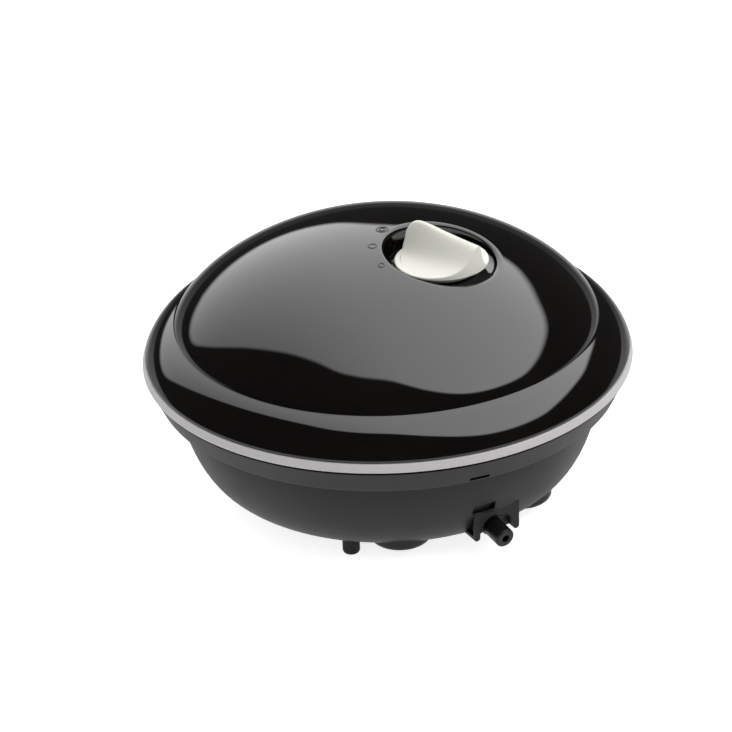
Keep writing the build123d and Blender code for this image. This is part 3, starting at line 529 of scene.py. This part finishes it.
def knob_height(p, q):
    """The grip over the disc: a ridge with a scoop on each side, inside a steep round wall.
    p runs along the pointer and q across it, away from the main view."""
    if q > 0:
        swoop = 1 / (1 + (q / (1.1 + 2.0 * math.exp(-(((p - 1) / 8) ** 2)))) ** 3.0)
        edge = 0.035
    else:
        swoop = 1 / (1 + (-q / (3.3 - 0.11 * p)) ** 2.4)
        edge = 0.05
    ridge = max(0.0, crest(p) * (swoop - edge) / (1 - edge))
    radius = math.hypot(p, q)
    nose = min(1.0, max(0.0, 0.5 + p / 8))
    foot_r, slope_w = 12.15 - 1.5 * nose, 0.95 - 0.55 * nose
    wall = 11.0 * min(1.0, max(0.0, (foot_r - radius) / slope_w))
    if min(ridge, wall) <= 0.25:
        return min(ridge, wall)
    return -math.log(math.exp(-ridge * 6) + math.exp(-wall * 6)) / 6


pc, ps = math.cos(POINTER), math.sin(POINTER)


def knob_point(p, q, z):
    return (KNOB_X + p * pc + q * ps, KNOB_Y + p * ps - q * pc, z)


verts = []
around = 320
# rings close together where the wall of the grip stands, and at the disc's edge
ring_radii = [10.7 * (k / 54) ** 0.85 for k in range(1, 55)]
ring_radii += [10.7 + 0.075 * k for k in range(1, 17)]
ring_radii += [11.97, 12.05, 12.12, 12.165, 12.19, KNOB_R]
ROUNDING = 0.35  # of the disc's edge
# the underside of the disc and the hub: radius, z
UNDERCUT = [
    (KNOB_R, 66.1), (12.1, 65.92), (11.2, 65.7), (9.7, 65.4), (9.5, 65.1), (9.4, 64.1),
    (9.2, KNOB_LOW_Z), (3.1, KNOB_LOW_Z),
]
ring_count = 0
for radius in ring_radii:
    for i in range(around):
        t = TAU * i / around
        p, q = radius * math.cos(t), radius * math.sin(t)
        inset = max(0.0, radius - (KNOB_R - ROUNDING)) / ROUNDING
        drop = ROUNDING * (1 - math.sqrt(max(0.0, 1 - inset * inset)))
        verts.append(knob_point(p, q, KNOB_RIM_Z + knob_height(p, q) - drop))
    ring_count += 1
for radius, z in UNDERCUT:
    for i in range(around):
        t = TAU * i / around
        verts.append(knob_point(radius * math.cos(t), radius * math.sin(t), z))
    ring_count += 1
faces = ring_faces(ring_count, around)
top = len(verts)
verts.append(knob_point(0, 0, KNOB_RIM_Z + knob_height(0, 0)))
faces += [(top, (i + 1) % around, i) for i in range(around)]
low_ring = (ring_count - 1) * around
low = len(verts)
verts.append(knob_point(0, 0, KNOB_LOW_Z))
faces += [(low, low_ring + i, low_ring + (i + 1) % around) for i in range(around)]
make_piece("knob_grip", verts, faces, "knob_ivory", "knob", "control_knob")


# ---------------------------------------------------------------- studio
def stage_mesh(name, verts, faces, material):
    mesh = bpy.data.meshes.new(name)
    mesh.from_pydata(verts, [], faces)
    mesh.materials.append(material)
    item = bpy.data.objects.new(name, mesh)
    bpy.context.scene.collection.objects.link(item)
    return item


def seen_directly(tree):
    """1 for what the camera sees itself, 0 for light that lands on or mirrors in the object."""
    return tree.nodes.new("ShaderNodeLightPath").outputs["Is Camera Ray"]


FLOOR_GLOW = 0.8
floor_material, tree, bsdf = new_material("studio_floor")
bsdf.inputs["Base Color"].default_value = (0.9, 0.9, 0.9, 1)
bsdf.inputs["Roughness"].default_value = 0.9
bsdf.inputs["Specular IOR Level"].default_value = 0.1
bsdf.inputs["Emission Color"].default_value = (1, 1, 1, 1)
glow = tree.nodes.new("ShaderNodeMath")
glow.operation = "MULTIPLY"
glow.inputs[1].default_value = FLOOR_GLOW
tree.links.new(seen_directly(tree), glow.inputs[0])
tree.links.new(glow.outputs[0], bsdf.inputs["Emission Strength"])
floor_r, floor_count = 3.0, 64
floor_turns = [TAU * i / floor_count for i in range(floor_count)]
floor_verts = [(floor_r * math.cos(turn), floor_r * math.sin(turn), 0) for turn in floor_turns]
studio_floor = stage_mesh("studio_floor", floor_verts, [tuple(range(floor_count))], floor_material)
studio_floor.visible_glossy = False

# One large soft light on a shell around the object. Its outline is given as (turn, height) in
# degrees, where turn 0 is straight behind the object as the main view sees it, and 90 its right.
LIGHT_R = 2.6
LIGHT_OUTLINE = [
    (-17, 7), (-35, 8), (-53, 9), (-61, 20), (-67, 33), (-72, 43), (-79, 52), (-88, 59), (-105, 65),
    (-130, 67), (-155, 68), (-180, 67), (165, 62), (154, 55), (142, 45), (131, 37), (117, 32),
    (102, 30), (88, 32), (74, 33), (60, 32), (46, 31), (36, 28), (27, 25), (12, 23), (-1, 20), (-8, 12),
]
LIGHT_CENTRE = (-10, 74)
LIGHT_POWER = 2.0


def sky(turn, height):
    """Unit vector for a direction given round the main view."""
    a, e = math.radians(turn), math.radians(height)
    away = Vector((-math.sin(CAMERA_AZIMUTH), math.cos(CAMERA_AZIMUTH), 0))
    rightwards = Vector((math.cos(CAMERA_AZIMUTH), math.sin(CAMERA_AZIMUTH), 0))
    bearing = away * math.cos(a) + rightwards * math.sin(a)
    return bearing * math.cos(e) + Vector((0, 0, 1)) * math.sin(e)


def smooth_outline(points, steps):
    """A closed curve through the given points."""
    curve = []
    total = len(points)
    for k in range(total):
        a, b, c, d = (sky(*points[(k + n) % total]) for n in (-1, 0, 1, 2))
        for n in range(steps):
            t = n / steps
            bend = (a * 2 - b * 5 + c * 4 - d) * t * t + (b * 3 - a - c * 3 + d) * t**3
            point = b * 2 + (c - a) * t + bend
            curve.append((point / 2).normalized())
    return curve


centre = sky(*LIGHT_CENTRE)
outline = smooth_outline(LIGHT_OUTLINE, 6)
brighter_side = sky(75, 0)
light_shares = [1.0, 0.97, 0.94, 0.9, 0.8, 0.65, 0.45, 0.25]
light_verts, light_values = [], []
for share in light_shares:
    for edge_point in outline:
        direction = (centre * (1 - share) + edge_point * share).normalized()
        light_verts.append(direction * LIGHT_R)
        lean = direction.dot(brighter_side)
        level = 1.0 + (0.3 * lean if lean > 0 else 0.75 * lean)
        soft = min(1.0, (1.0 - share) / 0.06)
        light_values.append(level * soft * soft * (3 - 2 * soft))
light_verts.append(centre * LIGHT_R)
light_values.append(1.0)
outline_count = len(outline)
light_faces = ring_faces(len(light_shares), outline_count)
last = (len(light_shares) - 1) * outline_count
top = len(light_verts) - 1
light_faces += [(last + i, last + (i + 1) % outline_count, top) for i in range(outline_count)]

light_material = bpy.data.materials.new("studio_softbox")
light_material.use_nodes = True
tree = light_material.node_tree
tree.nodes.remove(tree.nodes["Principled BSDF"])
emission = tree.nodes.new("ShaderNodeEmission")
level_in = tree.nodes.new("ShaderNodeAttribute")
level_in.attribute_name = "level"
strength = tree.nodes.new("ShaderNodeMath")
strength.operation = "MULTIPLY"
strength.inputs[1].default_value = LIGHT_POWER
tree.links.new(level_in.outputs["Fac"], strength.inputs[0])
tree.links.new(strength.outputs[0], emission.inputs["Strength"])
tree.links.new(emission.outputs[0], tree.nodes["Material Output"].inputs["Surface"])
softbox = stage_mesh("studio_softbox", light_verts, light_faces, light_material)
levels = softbox.data.attributes.new("level", "FLOAT", "POINT")
levels.data.foreach_set("value", light_values)
softbox.data.polygons.foreach_set("use_smooth", [True] * len(light_faces))
softbox.visible_camera = False

world = bpy.data.worlds.new("studio")
bpy.context.scene.world = world
world.use_nodes = True
tree = world.node_tree
# what lands on the object softly from all round, what mirrors in it, and what the camera sees
FILL, MIRRORED_SKY, MIRRORED_GROUND = 0.5, 0.032, 0.5
MIRRORED_GROUND_BEHIND, MIRRORED_NEAR_FLOOR = 0.07, 0.9
behind = sky(0, 0)
coords = tree.nodes.new("ShaderNodeTexCoord")
toward = tree.nodes.new("ShaderNodeVectorMath")
toward.operation = "DOT_PRODUCT"
toward.inputs[1].default_value = behind
tree.links.new(coords.outputs["Generated"], toward.inputs[0])
ground = ranged(tree, toward.outputs["Value"], MIRRORED_GROUND, MIRRORED_GROUND_BEHIND, 0.62, 0.95)
split = tree.nodes.new("ShaderNodeSeparateXYZ")
tree.links.new(coords.outputs["Generated"], split.inputs[0])
near = tree.nodes.new("ShaderNodeMix")
near.data_type = "FLOAT"
near.inputs["B"].default_value = MIRRORED_NEAR_FLOOR
tree.links.new(ranged(tree, split.outputs["Z"], 1.0, 0.0, -0.40, -0.14), near.inputs["Factor"])
tree.links.new(ground, near.inputs["A"])
horizon = tree.nodes.new("ShaderNodeMix")
horizon.data_type = "FLOAT"
horizon.inputs["A"].default_value = MIRRORED_SKY
tree.links.new(ranged(tree, split.outputs["Z"], 1.0, 0.0, -0.03, 0.0), horizon.inputs["Factor"])
tree.links.new(near.outputs["Result"], horizon.inputs["B"])
mirrored = tree.nodes["Background"]
tree.links.new(horizon.outputs["Result"], mirrored.inputs["Strength"])
mirrored.inputs["Color"].default_value = (1, 1, 1, 1)
paths = tree.nodes.new("ShaderNodeLightPath")
surface = mirrored.outputs[0]
for path, strength in (("Is Diffuse Ray", FILL), ("Is Camera Ray", 1.0)):
    background = tree.nodes.new("ShaderNodeBackground")
    background.inputs["Color"].default_value = (1, 1, 1, 1)
    background.inputs["Strength"].default_value = strength
    choose = tree.nodes.new("ShaderNodeMixShader")
    tree.links.new(paths.outputs[path], choose.inputs["Fac"])
    tree.links.new(surface, choose.inputs[1])
    tree.links.new(background.outputs[0], choose.inputs[2])
    surface = choose.outputs[0]
tree.links.new(surface, tree.nodes["World Output"].inputs["Surface"])
